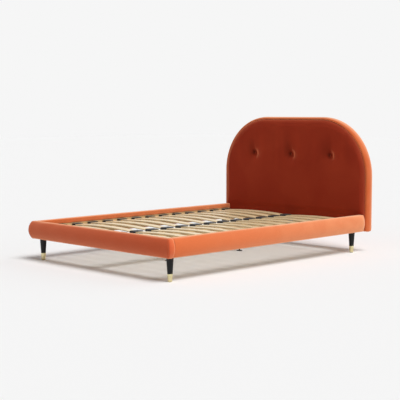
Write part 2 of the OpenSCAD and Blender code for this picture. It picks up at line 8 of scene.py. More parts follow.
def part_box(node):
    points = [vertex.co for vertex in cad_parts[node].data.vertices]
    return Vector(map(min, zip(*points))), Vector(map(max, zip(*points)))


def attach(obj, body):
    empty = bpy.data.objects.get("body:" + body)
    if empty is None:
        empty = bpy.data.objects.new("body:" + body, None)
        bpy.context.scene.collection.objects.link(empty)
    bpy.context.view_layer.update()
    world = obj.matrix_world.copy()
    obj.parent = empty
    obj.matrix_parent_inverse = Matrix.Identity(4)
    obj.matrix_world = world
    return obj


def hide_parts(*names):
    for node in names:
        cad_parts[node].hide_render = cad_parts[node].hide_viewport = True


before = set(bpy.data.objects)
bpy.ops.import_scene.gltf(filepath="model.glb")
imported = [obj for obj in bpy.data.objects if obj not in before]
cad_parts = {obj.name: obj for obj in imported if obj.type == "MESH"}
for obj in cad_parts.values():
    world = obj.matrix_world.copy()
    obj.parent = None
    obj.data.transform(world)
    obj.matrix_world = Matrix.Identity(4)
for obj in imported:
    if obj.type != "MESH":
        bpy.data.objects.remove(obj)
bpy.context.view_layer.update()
print("frame loaded")

# Camera where the photographer stood, and the soft light of the studio
cameraView = {
    "place": (5.3282, -5.3506, 1.0848),
    "tilt": 84.9775,
    "turn": 45.176,
    "lens": 90.71,
    "sensor": 36.0,
}
studio = {
    "sky": 0.24,
    "backdrop": "#f6f6f6",
    "sun": 2.72,
    "sunSpread": 32,
    "sunFrom": (0.52, -0.04, 0.85),
    "rim": 0.5,
    "rimSpread": 50,
    "rimFrom": (0.45, 0.80, 0.40),
    "floor": "#f1f1f1",
    "floorSize": 60,
}


def toLinear(hexText):
    channels = [int(hexText[i:i + 2], 16) / 255 for i in (1, 3, 5)]
    return [c / 12.92 if c <= 0.04045 else ((c + 0.055) / 1.055) ** 2.4 for c in channels] + [1.0]


def addNode(tree, kind, inputs=None, **settings):
    node = tree.nodes.new("ShaderNode" + kind)
    for name, value in settings.items():
        setattr(node, name, value)
    for socket, value in (inputs or {}).items():
        if isinstance(value, bpy.types.NodeSocket):
            tree.links.new(value, node.inputs[socket])
        else:
            node.inputs[socket].default_value = toLinear(value) if isinstance(value, str) else value
    return node


def placeIn(tree):
    return addNode(tree, "TexCoord").outputs["Object"]


def ranged(tree, value, low, high, lowest=0.0, highest=1.0, **settings):
    # Carry a value over from one range to another
    return addNode(tree, "MapRange", {
        "Value": value, "From Min": low, "From Max": high, "To Min": lowest,
        "To Max": highest}, **settings).outputs[0]


def noisy(tree, place, scale, detail=3.0, **more):
    return addNode(tree, "TexNoise", {"Vector": place, "Scale": scale, "Detail": detail, **more}).outputs[0]


def toned(tree, grain, darkest, palest):
    # Values of a fine noise mostly lie from 0.3 to 0.7
    return ranged(tree, grain, 0.3, 0.7, darkest, palest)


def mixed(tree, share, first, second):
    # Go over from the first colour to the second
    return addNode(tree, "Mix", {0: share, 6: first, 7: second}, data_type="RGBA").outputs[2]


def shaded(tree, colour, shade):
    return addNode(tree, "VectorMath", {0: colour, 3: shade}, operation="SCALE").outputs[0]


def combined(tree, first, second, operation):
    return addNode(tree, "Math", {0: first, 1: second}, operation=operation).outputs[0]


def bumped(tree, height, strength, depth):
    return addNode(tree, "Bump", {"Height": height, "Strength": strength, "Distance": depth}).outputs[0]


def newMaterial(name):
    material = bpy.data.materials.new(name)
    material.use_nodes = True
    material.node_tree.nodes.clear()
    return material, material.node_tree


def finishMaterial(material, shader, colour):
    tree = material.node_tree
    addNode(tree, "OutputMaterial", {"Surface": shader.outputs[0]})
    material.diffuse_color = toLinear(colour)
    return material


def makeCamera():
    data = bpy.data.cameras.new("camera")
    data.lens = cameraView["lens"]
    data.sensor_width = cameraView["sensor"]
    data.clip_end = 200
    camera = bpy.data.objects.new("camera", data)
    camera.location = cameraView["place"]
    camera.rotation_euler = (math.radians(cameraView["tilt"]), 0, math.radians(cameraView["turn"]))
    bpy.context.scene.collection.objects.link(camera)
    bpy.context.scene.camera = camera


def makeStudio():
    world = bpy.data.worlds.new("studio")
    bpy.context.scene.world = world
    world.use_nodes = True
    tree = world.node_tree
    tree.nodes.clear()
    path = addNode(tree, "LightPath").outputs
    seen = combined(tree, path["Is Camera Ray"], path["Is Glossy Ray"], "MAXIMUM")
    seen = combined(tree, seen, path["Is Transmission Ray"], "MAXIMUM")
    glow = addNode(tree, "Background", {"Color": (1, 1, 1, 1), "Strength": studio["sky"]})
    paper = addNode(tree, "Background", {"Color": studio["backdrop"], "Strength": 1.0})
    mix = addNode(tree, "MixShader", {0: seen, 1: glow.outputs[0], 2: paper.outputs[0]})
    addNode(tree, "OutputWorld", {"Surface": mix.outputs[0]})
    for name in ("sun", "rim"):
        light = bpy.data.lights.new("softbox_" + name, "SUN")
        light.energy = studio[name]
        light.angle = math.radians(studio[name + "Spread"])
        lamp = bpy.data.objects.new("softbox_" + name, light)
        lamp.rotation_euler = Vector(studio[name + "From"]).to_track_quat("Z", "Y").to_euler()
        bpy.context.scene.collection.objects.link(lamp)
    # Painted studio floor: flat and even, so that only the bed's shadow shows on it
    material, tree = newMaterial("painted_floor")
    paint = addNode(tree, "BsdfPrincipled", {
        "Base Color": studio["floor"], "Roughness": 0.95, "Specular IOR Level": 0.1,
        "Normal": bumped(tree, noisy(tree, placeIn(tree), 400.0, 2.0), 0.05, 0.001)})
    finishMaterial(material, paint, studio["floor"])
    bm = bmesh.new()
    bmesh.ops.create_grid(bm, x_segments=1, y_segments=1, size=studio["floorSize"] / 2)
    floor = meshObject("floor", bm, material)


def meshObject(name, bm, material):
    mesh = bpy.data.meshes.new(name)
    for face in bm.faces:
        face.smooth = True
    bm.to_mesh(mesh)
    bm.free()
    mesh.materials.append(material)
    obj = bpy.data.objects.new(name, mesh)
    bpy.context.scene.collection.objects.link(obj)
    return obj


def addPiece(obj, node, body="frame"):
    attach(obj, body)
    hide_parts(node)


makeCamera()
makeStudio()
bpy.context.scene.view_settings.view_transform = "Standard"
print("camera and studio made")

# Velvet: dense upright pile, with painted sheen and shade: darker where the cloth faces the view and paler
# where it turns away
velvetLook = {
    "colour": "#c05331",
    "stroked": "#c85d3a",
    "paintedSheenColour": "#ffc49c",
    "paintedSheenShare": 0.55,
    "paintedSheenFrom": 0.28,
    "paintedSheenEnd": 0.90,
    "sheen": 0.36,
    "sheenRough": 0.3,
    "sheenTint": "#ffc8a6",
    "strokeSize": 0.14,
    "pileSize": 0.0016,
    "deep": 0.85,
    "paintedEdgeSheen": "paintedEdgeSheen",
}
# Painted light: the foot rail's front face is darker than its top and ends, going paler towards the ends'
# rear seams
footLook = dict(velvetLook, colour="#dd6c40", stroked="#e17649", front="#c95936", frontEnd=(-1.072, -1.026),
                paintedSheenFrom=0.25)
# Painted light and sheen: the side rails are paler than the foot rail's front, and paler still towards the
# head, where the cloth is seen more from the side
sideLook = dict(velvetLook, colour="#dd8153", stroked="#e38b5c", front="#d76e40", frontEnd=(-1.05, 1.0),
                paintedSheenShare=0.8, paintedSheenFrom=0.26)
# The same velvet with its pile leaning away: darker and redder, as on the front of the headboard
napLook = dict(velvetLook, colour="#9c331e", stroked="#a33820", paintedSheenColour="#e88660", paintedSheenShare=0.85, paintedSheenFrom=0.28,
               deep=0.95, sheen=0.45, sheenTint="#ff8f70", strokeSize=0.3, brushed="brushed")
# Painted light and shade: the headboard's band has a second, redder colour on its front lip beside the seam,
# going over across its depth in metres
bandLook = dict(velvetLook, colour="#cf6437", stroked="#d36d40", front="#d2602f", frontEnd=(1.0064, 1.011),
                paintedSheenShare=0.72)


def makeVelvet(name, look):
    material, tree = newMaterial(name)
    place = placeIn(tree)
    lean = ranged(tree, noisy(tree, place, 1 / look["strokeSize"], Distortion=0.6), 0.35, 0.65)
    # Tufts of pile are about 0.3 mm across: drawn at 1.6 mm, the finest that shows
    tufts = noisy(tree, place, 1 / look["pileSize"], 2.0, Roughness=0.6)
    shade = toned(tree, tufts, 0.9, 1.06)
    colour = mixed(tree, lean, look["colour"], look["stroked"])
    # Painted light and shade: the colour goes over to a second one, given as front, along the piece's depth
    # in y
    if "front" in look:
        depth = addNode(tree, "SeparateXYZ", {0: place}).outputs[1]
        colour = mixed(tree, ranged(tree, depth, *look["frontEnd"]), look["front"], colour)
    # Painted sheen: the colour goes paler where the cloth turns away from the view
    away = addNode(tree, "LayerWeight", {"Blend": 0.5}).outputs["Facing"]
    pale = ranged(tree, away, look["paintedSheenFrom"], look["paintedSheenEnd"], 0.0, look["paintedSheenShare"],
                  interpolation_type="SMOOTHSTEP")
    # Painted highlight: the piece's own attribute makes the colour paler where the cloth is turned over a
    # seam or rolled edge
    paintedEdgeSheen = addNode(tree, "Attribute", attribute_name=look["paintedEdgeSheen"]).outputs["Fac"]
    pale = addNode(tree, "Math", {0: pale, 1: paintedEdgeSheen}, operation="ADD", use_clamp=True).outputs[0]
    colour = mixed(tree, pale, colour, look["paintedSheenColour"])
    # Painted shade: darker, by the deep share, where the cloth faces the view
    shade = combined(tree, shade, ranged(tree, away, 0.0, 0.22, look["deep"]), "MULTIPLY")
    if "brushed" in look:
        # Painted shade and highlight round the buttons, from the piece's own attribute: 0 darker, 1 paler
        paintedShade = addNode(tree, "Attribute", attribute_name=look["brushed"]).outputs["Fac"]
        shade = combined(tree, shade, ranged(tree, paintedShade, 0.0, 1.0, 0.3, 1.7), "MULTIPLY")
    cloth = addNode(tree, "BsdfPrincipled", {
        "Base Color": shaded(tree, colour, shade), "Roughness": ranged(tree, lean, 0.0, 1.0, 0.95, 0.85),
        "Specular IOR Level": 0.1, "Sheen Weight": look["sheen"], "Sheen Roughness": look["sheenRough"],
        "Sheen Tint": look["sheenTint"], "Normal": bumped(tree, tufts, 0.25, 0.0006)})
    return finishMaterial(material, cloth, look["colour"])


velvet = makeVelvet("cotton_velvet", velvetLook)
velvetFoot = makeVelvet("cotton_velvet_foot_light_painted", footLook)
velvetSides = makeVelvet("cotton_velvet_sides_sheen_painted", sideLook)
velvetAgainstNap = makeVelvet("cotton_velvet_against_nap", napLook)
velvetButton = makeVelvet("cotton_velvet_button", dict(velvetLook, colour="#8a2a18", stroked="#93301b",
                                                          paintedSheenColour="#d87850", sheenTint="#ff8f70"))
velvetBand = makeVelvet("cotton_velvet_band_light_painted", bandLook)

# Sawn pine: pale boards with tawny growth rings and small knots, planed but left bare
pineLook = {"early": "#e2c598", "late": "#c39a62", "knot": "#7d5330", "ring": 0.005, "fibre": 0.0012}
# Bent birch slats: pale veneers pressed and lacquered, with brown glue lines on their edges
birchLook = {"early": "#ecd7ae", "late": "#dfc494", "fibre": 0.0014, "veneer": 0.00135, "glue": "#a9805a"}
axisNames = "XYZ"


def stretched(tree, place, axis, stretch):
    scale = [1.0, 1.0, 1.0]
    scale[axis] = 1 / stretch
    return addNode(tree, "Mapping", {"Vector": place, "Scale": scale}).outputs[0]


def makePine(axis):
    material, tree = newMaterial("sawn_pine_along_" + axisNames[axis].lower())
    place = placeIn(tree)
    shifted = addNode(tree, "Mapping", {"Vector": place, "Location": (0.043, 0.071, 0.029)}).outputs[0]
    rings = addNode(tree, "TexWave", {
        "Vector": stretched(tree, shifted, axis, 14), "Scale": 2 * math.pi / 20 / pineLook["ring"],
        "Distortion": 3.2, "Detail": 2.0, "Detail Scale": 0.6}, wave_type="RINGS",
        rings_direction=axisNames[axis])
    fibres = noisy(tree, stretched(tree, place, axis, 60), 1 / pineLook["fibre"])
    # Knots: about one in each 150 mm of board, 12 mm across
    cells = addNode(tree, "TexVoronoi", {"Vector": shifted, "Scale": 7.0}, feature="F1")
    knots = ranged(tree, cells.outputs["Distance"], 0.05, 0.13, 1.0, 0.0)
    grain = mixed(tree, rings.outputs[0], pineLook["early"], pineLook["late"])
    grain = shaded(tree, grain, toned(tree, fibres, 0.92, 1.05))
    wood = addNode(tree, "BsdfPrincipled", {
        "Base Color": mixed(tree, knots, grain, pineLook["knot"]), "Roughness": 0.62,
        "Specular IOR Level": 0.35, "Normal": bumped(tree, fibres, 0.2, 0.0003)})
    return finishMaterial(material, wood, pineLook["early"])


pineAlongX, pineAlongY, pineAlongZ = [makePine(axis) for axis in range(3)]


def makeBirch():
    material, tree = newMaterial("birch_veneer_lacquered")
    place = placeIn(tree)
    layer = addNode(tree, "UVMap", uv_map="layers").outputs[0]
    fibres = noisy(tree, stretched(tree, place, 0, 70), 1 / birchLook["fibre"])
    figure = noisy(tree, stretched(tree, place, 0, 9), 38.0, 2.0, Distortion=0.8)
    colour = mixed(tree, figure, birchLook["early"], birchLook["late"])
    # Veneers 1.35 mm thick, in the order that the second UV coordinate counts them
    height = addNode(tree, "SeparateXYZ", {0: layer}).outputs[1]
    step = combined(tree, height, 1 / birchLook["veneer"], "MULTIPLY")
    part = addNode(tree, "Math", {0: step}, operation="FRACT").outputs[0]
    colour = mixed(tree, ranged(tree, part, 0.0, 0.22, 0.8, 0.0), colour, birchLook["glue"])
    colour = shaded(tree, colour, toned(tree, fibres, 0.93, 1.04))
    wood = addNode(tree, "BsdfPrincipled", {
        "Base Color": colour, "Roughness": 0.38, "Specular IOR Level": 0.5, "Coat Weight": 0.15,
        "Normal": bumped(tree, fibres, 0.12, 0.0002)})
    return finishMaterial(material, wood, birchLook["early"])


birch = makeBirch()


def makePlain(name, colour, roughness, grain, metallic=0.0, depth=0.0001, strength=0.2, streak=None,
              spread=0.06, specular=0.5):
    # A finish of one colour, with its own grain: fine and even, or drawn out along one axis
    material, tree = newMaterial(name)
    place = placeIn(tree)
    if streak is not None:
        place = stretched(tree, place, streak, 40)
    grains = noisy(tree, place, 1 / grain)
    shade = toned(tree, grains, 1 - spread, 1 + spread)
    finish = addNode(tree, "BsdfPrincipled", {
        "Base Color": shaded(tree, toLinear(colour)[:3], shade),
        "Roughness": toned(tree, grains, roughness * 0.85, roughness * 1.15),
        "Metallic": metallic, "Specular IOR Level": specular,
        "Normal": bumped(tree, grains, strength, depth)})
    return finishMaterial(material, finish, colour)


# Legs: sprayed satin black lacquer, level but for a faint orange peel of 2 mm
blackLacquer = makePlain("satin_black_lacquer", "#0d0d0e", 0.36, 0.002, depth=0.00005, specular=0.28)
# Ferrules: brass turned and brushed round, so it shines in soft bands
brushedBrass = makePlain("brushed_brass", "#d8cca0", 0.3, 0.0008, metallic=1.0, depth=0.00004,
                         strength=0.3)
# Bolts, hangers: bright zinc plate, a little cloudy
zincSteel = makePlain("zinc_plated_steel", "#b9bcc0", 0.38, 0.004, metallic=1.0, spread=0.1)
# Slat holders, glides: black nylon out of a spark-eroded mould
blackNylon = makePlain("moulded_black_nylon", "#2a2a2c", 0.55, 0.0009, depth=0.00006, strength=0.35)
# Hardboard: pressed brown fibres, smooth on the face
hardboard = makePlain("hardboard", "#8a6746", 0.7, 0.003, spread=0.12)
# Plywood panel behind the padding: plain birch faces
plainBirch = makePlain("birch_plywood", "#dfc494", 0.6, 0.002, streak=0, spread=0.1)
print("materials made")

# Sizes that the frame gives
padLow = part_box("headboard_pad")[0]
footLow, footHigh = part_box("foot_rail_cover")
sideLow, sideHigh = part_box("side_rail_cover_right")
borderLow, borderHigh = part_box("headboard_border")
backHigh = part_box("headboard_back_cover")[1]

railShape = {
    "bulge": 0.0190,
    "endBulge": 0.006,
    "sag": 0.0015,
    "edge": 0.008,
    "seamFrom": 0.0085,
    "seamDepth": 0.0026,
    "seamWidth": 0.0024,
    "sideIn": 0.688,
    "flapEnd": 0.250,
    "turnUnder": 0.0145,
    "cloth": 0.002,
    "step": 0.018,
    "depthStep": 0.009,
    "rows": 15,
    "evenFrom": 0.06,
    "evenTo": 0.04,
    "headStep": 0.006,
    "headFrom": 0.05,
    "ripple": 0.0007,
    "rippleFoot": 0.11,
    "rippleSide": 0.12,
    "cornerBlend": 0.05,
    "headRoll": 0.032,
    "headFall": 0.015,
    "headLean": 0.0065,
    "pinned": 0.004,
    "pinnedTop": 0.001,
    "paintedSeamSheen": 0.34,
    "paintedSeamSheenWidth": 0.006,
    "paintedSeamSheenFrom": 0.045,
    "paintedHeadSheen": 0.3,
    "paintedHeadSheenPast": 0.006,
    "paintedHeadSheenWidth": 0.012,
}


def bulgeInset(z):
    # How far the padded face lies behind its crown at this height
    half = (footHigh.z - footLow.z) / 2
    sag = railShape["bulge"]
    radius = (half * half + sag * sag) / (2 * sag)
    off = min(half, abs(z - (footHigh.z + footLow.z) / 2))
    return radius - math.sqrt(radius * radius - off * off)


def fading(distance, width):
    # A soft spot: 1 in its middle, 0.37 at its width and nothing far off
    share = distance / width
    return math.exp(-share * share)


def clamped(share):
    return min(1, max(0, share))


def evenCuts(low, high, step):
    count = max(1, round((high - low) / step))
    return [low + (high - low) * k / count for k in range(1, count)]


def closingCuts(low, high, count):
    # Cuts that lie closer and closer towards both ends
    middle = (low + high) / 2
    return [middle - (high - low) / 2 * math.cos(math.pi * k / count) for k in range(1, count)]


def addBox(bm, low, high):
    made = bmesh.ops.create_cube(bm, size=1)["verts"]
    bmesh.ops.scale(bm, vec=[high[i] - low[i] for i in range(3)], verts=made)
    bmesh.ops.translate(bm, vec=[(high[i] + low[i]) / 2 for i in range(3)], verts=made)
    return made


def easeEdges(bm, edges, width, segments=2):
    bmesh.ops.bevel(bm, geom=list(edges), offset=width, offset_type="OFFSET", segments=segments, profile=0.5,
                    affect="EDGES", clamp_overlap=True, material=-1)


def cutAcross(bm, axis, place):
    normal = [int(i == axis) for i in range(3)]
    bmesh.ops.bisect_plane(bm, geom=bm.verts[:] + bm.edges[:] + bm.faces[:], dist=1e-6,
                           plane_co=[place * n for n in normal], plane_no=normal)


def softBox(low, high, edge, cuts):
    # A box with rolled edges, cut into strips that can be shaped
    bm = bmesh.new()
    addBox(bm, low, high)
    easeEdges(bm, bm.edges, edge, 4)
    for axis in range(3):
        for place in cuts[axis]:
            cutAcross(bm, axis, place)
    return bm


def ripple(point, size, depth):
    # Slow unevenness of padding that was pulled over by hand
    return depth * noise.noise(Vector(point) / size)


def cutOpen(bm, hidden):
    # Take out the faces where the cover is open over the timber
    faces = [f for f in bm.faces if hidden(f.calc_center_median(), f.normal)]
    bmesh.ops.delete(bm, geom=faces, context="FACES")


def faceAlong(bm, way):
    # Turn a sheet's faces over if they look against this way along the bed
    if way * sum(f.normal.y * f.calc_area() for f in bm.faces) < 0:
        bmesh.ops.reverse_faces(bm, faces=bm.faces)


def joinUp(bm, reach=1e-6):
    # Join what touches and turn all faces outwards
    bmesh.ops.remove_doubles(bm, verts=bm.verts, dist=reach)
    bmesh.ops.recalc_face_normals(bm, faces=bm.faces)


def only(geom, *kinds):
    return [g for g in geom if isinstance(g, kinds)]


def mirrorOver(bm, reach):
    bmesh.ops.mirror(bm, geom=bm.verts[:] + bm.edges[:] + bm.faces[:], axis="X", merge_dist=reach,
                     matrix=Matrix.Identity(4))


def addWall(obj, thickness):
    wall = obj.modifiers.new("wall", "SOLIDIFY")
    wall.thickness = thickness
    wall.offset = -1


def addSmoothing(obj):
    smooth = obj.modifiers.new("smooth", "SUBSURF")
    smooth.levels = 1
    smooth.render_levels = 1


def settle(obj, held, shape):
    # Let the cloth find its own form between the places where it is held, with the foam pushing from behind
    mesh = obj.data
    start = [v.co.copy() for v in mesh.vertices]
    pins = obj.vertex_groups.new(name="pins")
    pins.add([v.index for v in mesh.vertices if held(v.co)], 1.0, "REPLACE")
    cloth = obj.modifiers.new("cloth", "CLOTH")
    settings = cloth.settings
    settings.quality = shape["quality"]
    settings.mass = shape["mass"]
    settings.tension_stiffness = shape["stiff"]
    settings.compression_stiffness = shape["stiff"]
    settings.shear_stiffness = shape["stiff"] / 3
    settings.bending_stiffness = shape["bend"]
    settings.vertex_group_mass = "pins"
    settings.shrink_min = -shape["spare"]
    settings.use_pressure = True
    settings.uniform_pressure_force = shape["pressure"]
    settings.effector_weights.gravity = 0
    cloth.point_cache.frame_start = 1
    cloth.point_cache.frame_end = shape["frames"]
    scene = bpy.context.scene
    for number in range(1, shape["frames"] + 1):
        scene.frame_set(number)
    moved = obj.evaluated_get(bpy.context.evaluated_depsgraph_get()).to_mesh()
    ends = [v.co.copy() for v in moved.vertices]
    obj.evaluated_get(bpy.context.evaluated_depsgraph_get()).to_mesh_clear()
    obj.modifiers.remove(cloth)
    obj.vertex_groups.remove(pins)
    scene.frame_set(1)
    steps = [last - first for first, last in zip(start, ends)]
    near = [[] for _ in mesh.vertices]
    for edge in mesh.edges:
        a, b = edge.vertices
        near[a].append(b)
        near[b].append(a)
    for _ in range(shape["evened"]):
        # The foam spreads the pull, so that no sharp pucker stays
        steps = [(step + sum((steps[i] for i in others), Vector()) / len(others)) / 2
                 for step, others in zip(steps, near)]
    for v, first, step in zip(mesh.vertices, start, steps):
        if step.length > shape["cap"]:
            step = step * (shape["cap"] / step.length)
        v.co = first + step
    mesh.update()
    print("cloth settled on %s: moved up to %.1f mm" % (
        obj.name, 1000 * max((v.co - first).length for v, first in zip(mesh.vertices, start))))


railCloth = {
    "quality": 5,
    "mass": 0.3,
    "stiff": 10,
    "bend": 0.3,
    "spare": 0.006,
    "pressure": 4,
    "frames": 20,
    "cap": 0.0016,
    "evened": 12,
}


def sagged(z):
    # The padding hangs a little at the bottom and is drawn tight at the top
    share = (z - footLow.z) / (footHigh.z - footLow.z)
    return z - railShape["sag"] * max(0, 1 - share) ** 2


def markPaintedEdgeSheen(obj, share):
    # Painted highlight: a share of paler colour at each point
    paintedEdgeSheen = obj.data.attributes.new(velvetLook["paintedEdgeSheen"], "FLOAT", "POINT")
    for number, v in enumerate(obj.data.vertices):
        paintedEdgeSheen.data[number].value = share(v.co)


def finishRail(obj, node):
    addSmoothing(obj)
    addWall(obj, railShape["cloth"])
    addPiece(obj, node)


def makeFootRail():
    shape = railShape
    depth = footHigh.y - footLow.y
    half = (footHigh.x - footLow.x) / 2
    edge = shape["edge"]
    seamX = half - shape["seamFrom"]
    even = half - shape["evenFrom"]
    ends = [seamX + out for out in (-0.036, -0.024, -0.014, -0.008, -0.005, -0.0025, 0, 0.0025)]
    cuts = (sorted(ends + [-x for x in ends] + evenCuts(-even, even, shape["step"])),
            evenCuts(footLow.y + edge, footHigh.y - edge, shape["depthStep"]),
            closingCuts(footLow.z + edge / 2, footHigh.z - edge / 2, shape["rows"]))
    bm = softBox(footLow, footHigh, edge, cuts)
    for v in bm.verts:
        inset = bulgeInset(v.co.z)
        front = clamped((footHigh.y - v.co.y) / depth)
        endShare = clamped((abs(v.co.x) - half + shape["cornerBlend"]) / shape["cornerBlend"])
        wave = ripple((v.co.x, v.co.z * 2, 3.1), shape["rippleFoot"], shape["ripple"])
        # The front panel is sewn to the end strip just inside each corner
        sewn = shape["seamDepth"] * fading(abs(v.co.x) - seamX, shape["seamWidth"])
        v.co.y += (inset + wave + sewn) * front
        out = shape["endBulge"] * (1 - inset / shape["bulge"])
        v.co.x -= (inset - out) * endShare * (1 if v.co.x > 0 else -1)
        v.co.z = sagged(v.co.z)
    bm.normal_update()

    def hidden(centre, normal):
        behind = normal.y > 0.9 and centre.z < shape["flapEnd"]
        under = normal.z < -0.9 and centre.y > footHigh.y - shape["turnUnder"]
        return (behind or under) and abs(centre.x) < shape["sideIn"]

    cutOpen(bm, hidden)
    obj = meshObject("foot_rail_velvet", bm, velvetFoot)
    settle(obj, lambda spot: spot.y > footHigh.y - shape["pinned"] or spot.z > footHigh.z - shape["pinnedTop"]
           or abs(spot.x) > half - shape["cornerBlend"], railCloth)
    # Painted highlight: paler along the rear seams of the rail's ends
    markPaintedEdgeSheen(obj, lambda spot: shape["paintedSeamSheen"] * fading(footHigh.y - spot.y, shape["paintedSeamSheenWidth"])
               if abs(spot.x) > half - shape["paintedSeamSheenFrom"] else 0)
    finishRail(obj, "foot_rail_cover")


def makeSideRail(side):
    shape = railShape
    low = Vector((shape["sideIn"], sideLow.y, sideLow.z))
    high = sideHigh
    edge = shape["edge"]
    depth = high.x - low.x
    roll = shape["headRoll"]
    cuts = (evenCuts(low.x + edge, high.x - edge, shape["depthStep"]),
            evenCuts(low.y + edge, high.y - shape["evenTo"], shape["step"])
            + evenCuts(high.y - shape["headFrom"], high.y - edge, shape["headStep"]),
            closingCuts(low.z + edge / 2, high.z - edge / 2, shape["rows"]))
    bm = softBox(low, high, edge, cuts)
    for v in bm.verts:
        inset = bulgeInset(v.co.z)
        out = clamped((v.co.x - low.x) / depth)
        # The padding falls away round the head end, most where it is fullest
        full = 1 - inset / shape["bulge"]
        past = clamped((v.co.y - high.y + roll) / roll)
        fall = (1 - math.sqrt(1 - past * past)) * shape["headFall"] * full
        wave = ripple((v.co.y, v.co.z * 2, 7.7 * side), shape["rippleSide"], shape["ripple"])
        # Its crown leans into the rolled edge of the headboard's pad
        v.co.y += shape["headLean"] * past * out * out * full
        v.co.x -= (inset + fall + wave) * out
        v.co.z = sagged(v.co.z)
    bm.normal_update()

    def hidden(centre, normal):
        return (normal.x < -0.9 and centre.z < shape["flapEnd"]) or (
            normal.z < -0.9 and centre.x < low.x + shape["turnUnder"])

    cutOpen(bm, hidden)
    if side < 0:
        bmesh.ops.scale(bm, vec=(-1, 1, 1), verts=bm.verts)
        bmesh.ops.reverse_faces(bm, faces=bm.faces)
    name = "left" if side < 0 else "right"
    obj = meshObject("side_rail_velvet_" + name, bm, velvetSides)
    pinned = shape["pinned"]
    settle(obj, lambda spot: abs(spot.x) < low.x + pinned or spot.z > high.z - shape["pinnedTop"]
           or not low.y + pinned < spot.y < high.y - pinned, railCloth)
    # Painted highlight: paler round the rolled head end
    paintedHeadSheenEnd = high.y + shape["paintedHeadSheenPast"]
    markPaintedEdgeSheen(obj, lambda spot: shape["paintedHeadSheen"] * fading(paintedHeadSheenEnd - spot.y, shape["paintedHeadSheenWidth"]))
    finishRail(obj, "side_rail_cover_" + name)


makeFootRail()
for side in (-1, 1):
    makeSideRail(side)
print("rails covered")

headboardShape = {
    "radius": 0.455,
    "seam": 0.0150,
    "front": -0.0045,
    "rollDepth": 0.0130,
    "rollWidth": 0.036,
    "rollTurn": 0.95,
    "buttonGap": 0.400,
    "buttonHeight": 0.735,
    "flat": 0.011,
    "belly": 0.0045,
    "bellyFrom": 0.300,
    "bellyRise": 0.160,
    "bellyReach": 0.11,
    "dimpleDepth": 0.0125,
    "dimpleRadius": 0.044,
    "hollowDepth": 0.0125,
    "hollowRadius": 0.150,
    "hollowTall": 1.35,
    "columns": 170,
    "rows": 104,
    "foldStart": 0.03,
    "foldTurn": 5,
    "pinnedRim": 0.002,
    "pinnedButton": 0.012,
    "pressedTo": 0.292,
    "pressedBlend": 0.05,
    "proudest": 0.012,
    "rimSteps": (0.003, 0.010),
    "bandCorner": 0.010,
    "paintedRollSheen": 0.09,
    "paintedRollSheenWidth": 0.020,
    "paintedSeamSheen": 0.26,
    "paintedSeamSheenWidth": 0.005,
    "paintedBandSheen": 0.22,
    "paintedBandSheenWidth": 0.004,
}
# Folds that the buttons pull: turn from straight up, how deep, how wide and how long
buttonFolds = ((-8, 0.0075, 0.020, 0.165), (36, 0.0026, 0.014, 0.095), (-44, 0.0030, 0.014, 0.110),
               (176, 0.0042, 0.018, 0.120), (-128, 0.0020, 0.014, 0.090), (120, 0.0020, 0.014, 0.085))


def archSizes(inset):
    # Middle of the round corner, then how long the straight side, the quarter turn and the whole edge are
    radius = headboardShape["radius"]
    arcX = borderHigh.x - radius
    arcZ = borderHigh.z - radius
    side = arcZ - (borderLow.z + inset)
    turn = (radius - inset) * math.pi / 2
    return arcX, arcZ, side, turn, 2 * side + 2 * turn + 2 * arcX


def archPoint(share, inset):
    # Point on the arch, from the low left corner (0) over the top to the low right corner (1)
    arcX, arcZ, side, turn, total = archSizes(inset)
    radius = headboardShape["radius"] - inset
    at = share * total
    if at > total / 2:
        x, z = archPoint(1 - share, inset)
        return -x, z
    if at < side:
        return inset - borderHigh.x, borderLow.z + inset + at
    if at < side + turn:
        angle = math.pi - (at - side) / radius
        return -arcX + radius * math.cos(angle), arcZ + radius * math.sin(angle)
    return -arcX + at - side - turn, arcZ + radius


def edgeGap(x, z, inset):
    # Distance from the arch's edge
    arcX, arcZ = archSizes(inset)[:2]
    low = z - borderLow.z - inset
    if z > arcZ and abs(x) > arcX:
        return min(low, headboardShape["radius"] - inset - math.hypot(abs(x) - arcX, z - arcZ))
    side = borderHigh.x - inset - abs(x)
    if z > arcZ:
        return min(low, side, borderHigh.z - inset - z)
    return min(low, side)


def dip(t):
    return 0 if t >= 1 else ((1 + math.cos(math.pi * t)) / 2) ** 2


def padDepth(x, z):
    # How far the front of the pad lies behind its crown
    shape = headboardShape
    gap = max(0, edgeGap(x, z, shape["seam"]))
    t = min(1, gap / shape["rollWidth"])
    turn = shape["rollTurn"]
    roll = shape["rollDepth"] * (1 - math.sqrt(1 - (turn - turn * t) ** 2)) / (1 - math.sqrt(1 - turn * turn))
    pull = 0
    for k in (-1, 0, 1):
        u = x - k * shape["buttonGap"]
        v = z - shape["buttonHeight"]
        reach = math.hypot(max(0, abs(u) - shape["flat"]), max(0, abs(v) - shape["flat"]))
        deep = shape["dimpleDepth"] * dip(reach / shape["dimpleRadius"])
        deep += shape["hollowDepth"] * dip(math.hypot(u, v / (shape["hollowTall"] if v > 0 else 1))
                                           / shape["hollowRadius"])
        for turn, depth, wide, long in buttonFolds:
            angle = math.radians(turn + shape["foldTurn"] * k)
            along = u * math.sin(angle) + v * math.cos(angle)
            across = u * math.cos(angle) - v * math.sin(angle)
            if 0 < along < long:
                rise = min(1, along / shape["foldStart"]) * dip(along / long)
                deep += depth * rise * fading(across, wide * (0.6 + 0.8 * along / long))
        pull += deep
    rise = clamped((z - shape["bellyFrom"]) / shape["bellyRise"])
    away = min(1, gap / shape["bellyReach"])
    belly = shape["belly"] * rise * rise * (3 - 2 * rise) * away * (2 - away)
    return roll + pull - belly


